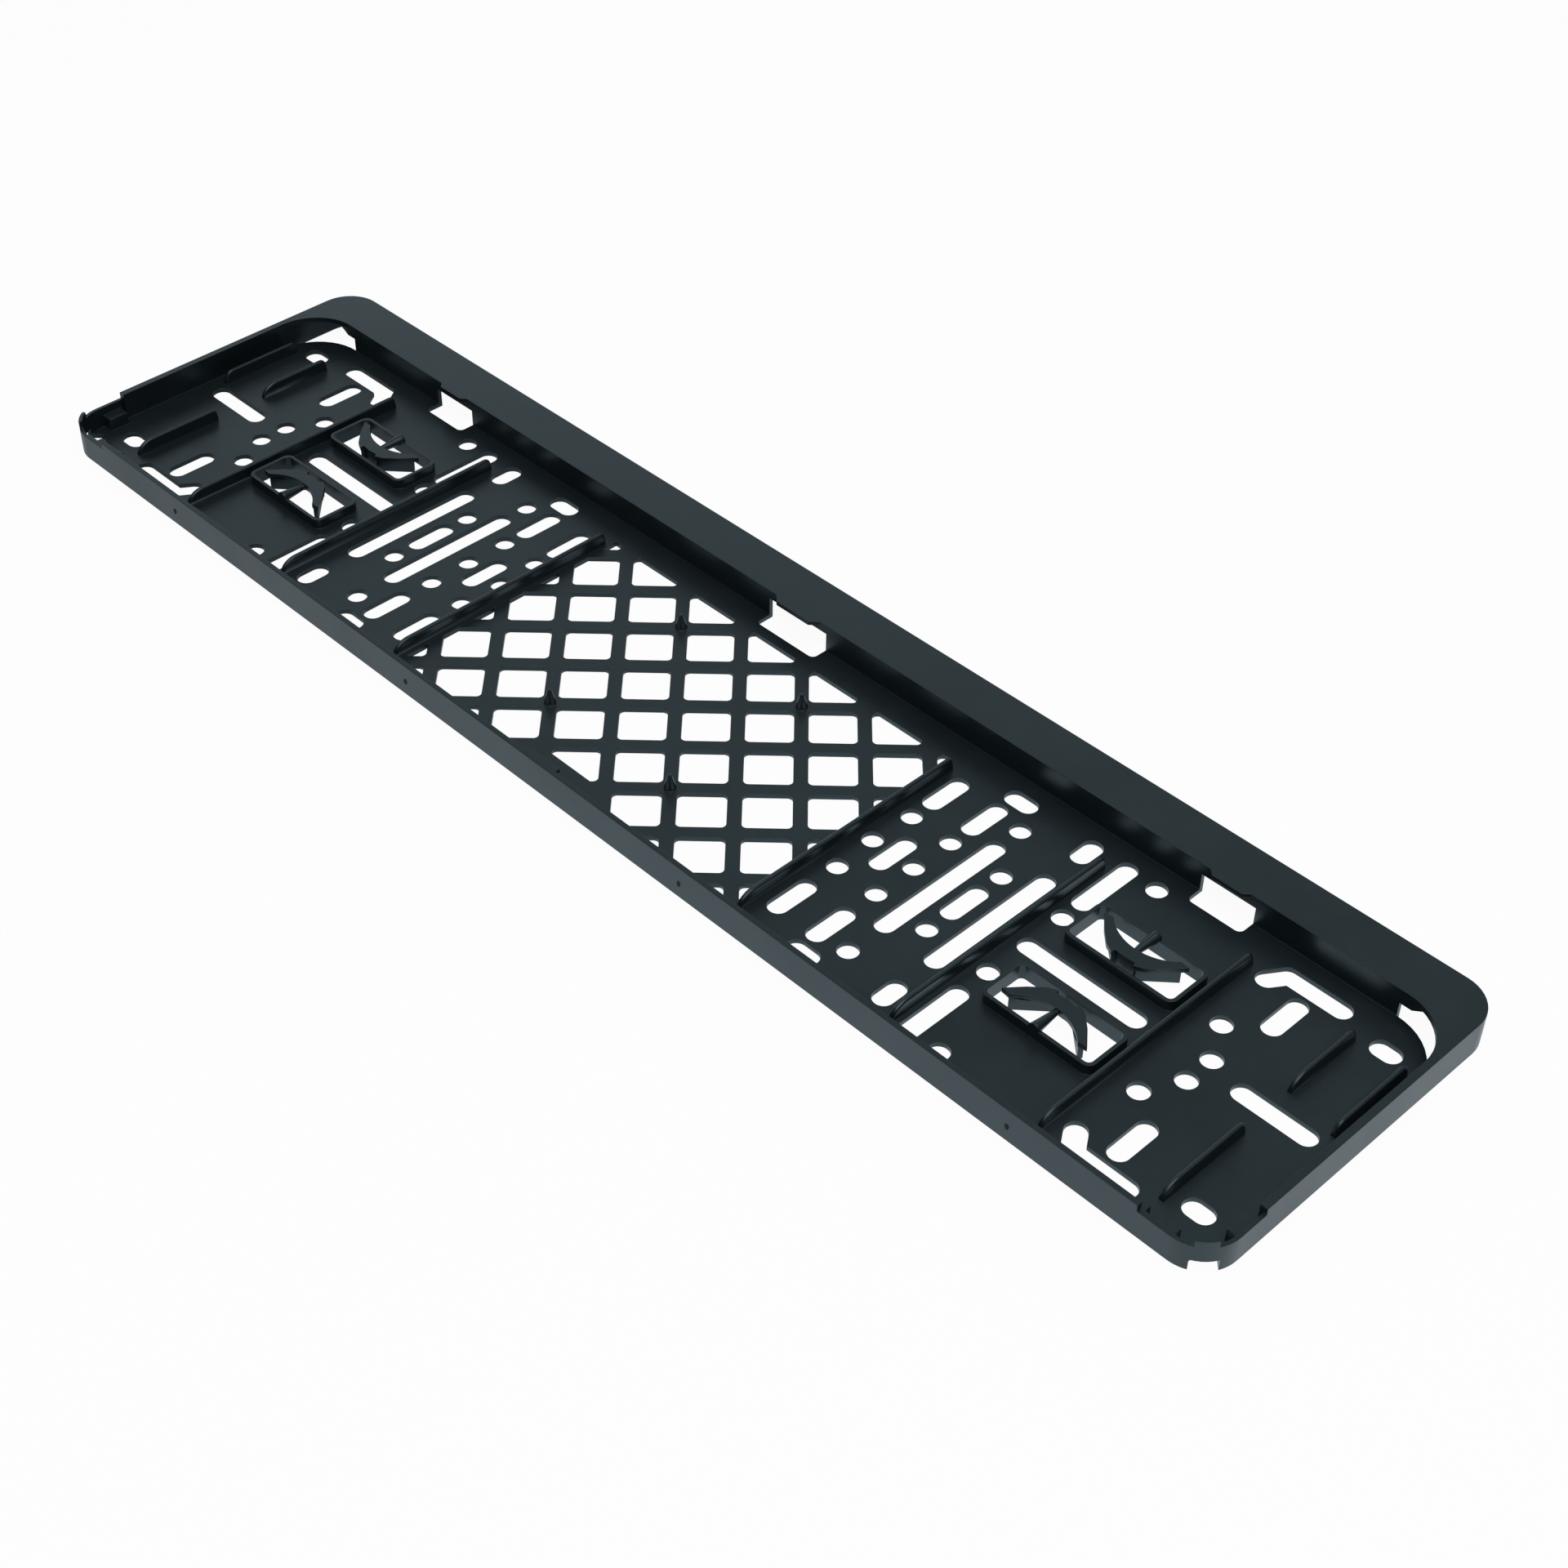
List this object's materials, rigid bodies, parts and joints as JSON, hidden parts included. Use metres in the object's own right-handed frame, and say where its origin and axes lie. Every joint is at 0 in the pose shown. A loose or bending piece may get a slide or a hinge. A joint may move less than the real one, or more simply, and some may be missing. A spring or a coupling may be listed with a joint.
{
  "type": "number plate holder",
  "caption": "Flat moulded tray that holds a vehicle number plate, with a pierced floor, a diagonal grille, plate rests, break-out clips and a wide flange along one side.",
  "frame": {"origin": "middle of the holder's outline, at the level of the rim and floor that lie against the car", "axes": "+X along the plate's length, +Y towards the wide flange, +Z away from the car, towards the plate"},
  "size_m": [0.5256, 0.1304, 0.0118],
  "materials": {
    "black_plastic": "satin black injection-moulded plastic with a fine grain"
  },
  "bodies": {
    "root": {"holder": "black_plastic"}
  },
  "joints": []
}
